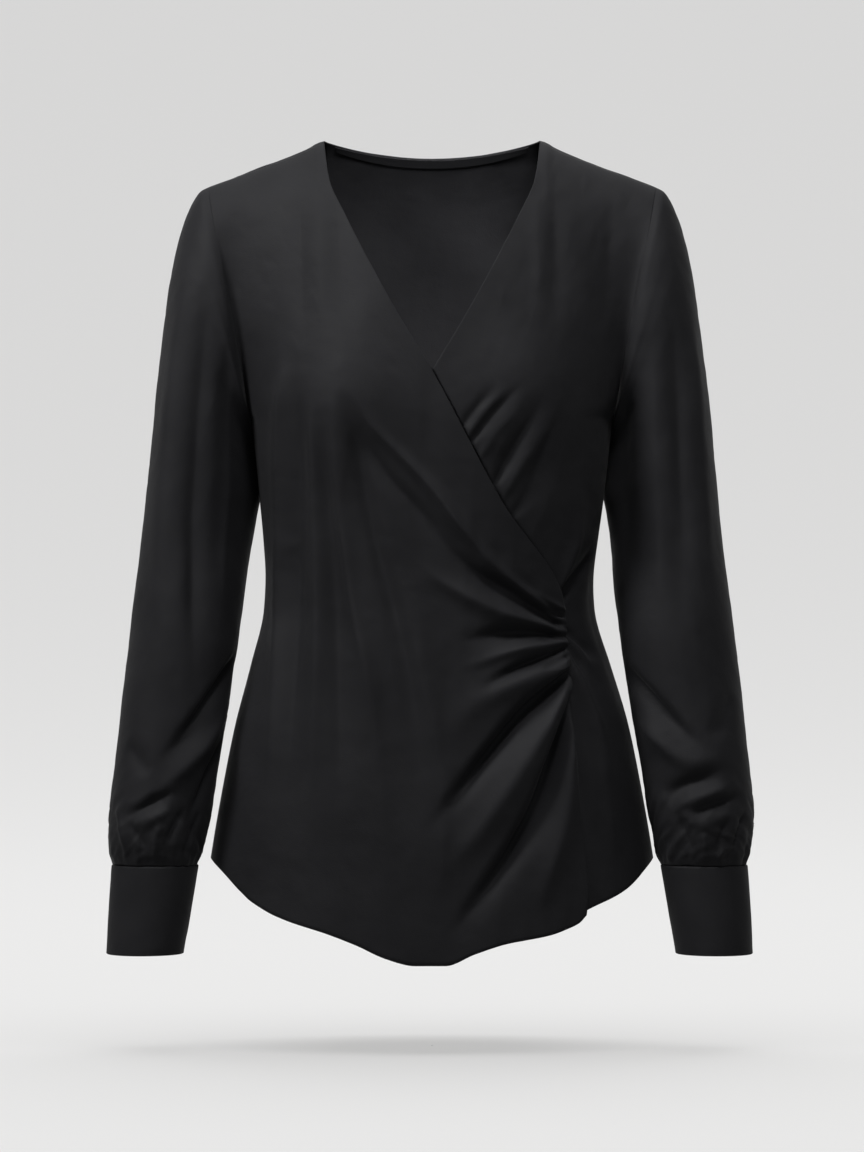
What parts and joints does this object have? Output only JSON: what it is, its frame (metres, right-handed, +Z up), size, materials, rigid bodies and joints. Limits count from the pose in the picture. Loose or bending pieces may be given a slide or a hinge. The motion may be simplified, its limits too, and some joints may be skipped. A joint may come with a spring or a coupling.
{
  "type": "wrap top",
  "caption": "Long-sleeved wrap top with a V neck, the over-wrap gathered into a side waist seam, curved hem and deep cuffs, hollow and filled out as worn.",
  "frame": {"origin": "midway between the high points of the shoulders, where the wearer's shoulders and neck carry the top", "axes": "+X towards the wearer's left, -Y to the front, +Z up"},
  "size_m": [0.5366, 0.212, 0.6814],
  "materials": {
    "crepe": "black crepe with a fine grain and a low, soft sheen",
    "binding": "the same black crepe, turned on the bias"
  },
  "bodies": {
    "root": {"front_right": "crepe", "front_left": "crepe", "back": "crepe", "sleeve_right": "crepe", "sleeve_left": "crepe", "cuff_right": "crepe", "cuff_left": "crepe", "neck_binding": "binding"}
  },
  "joints": []
}
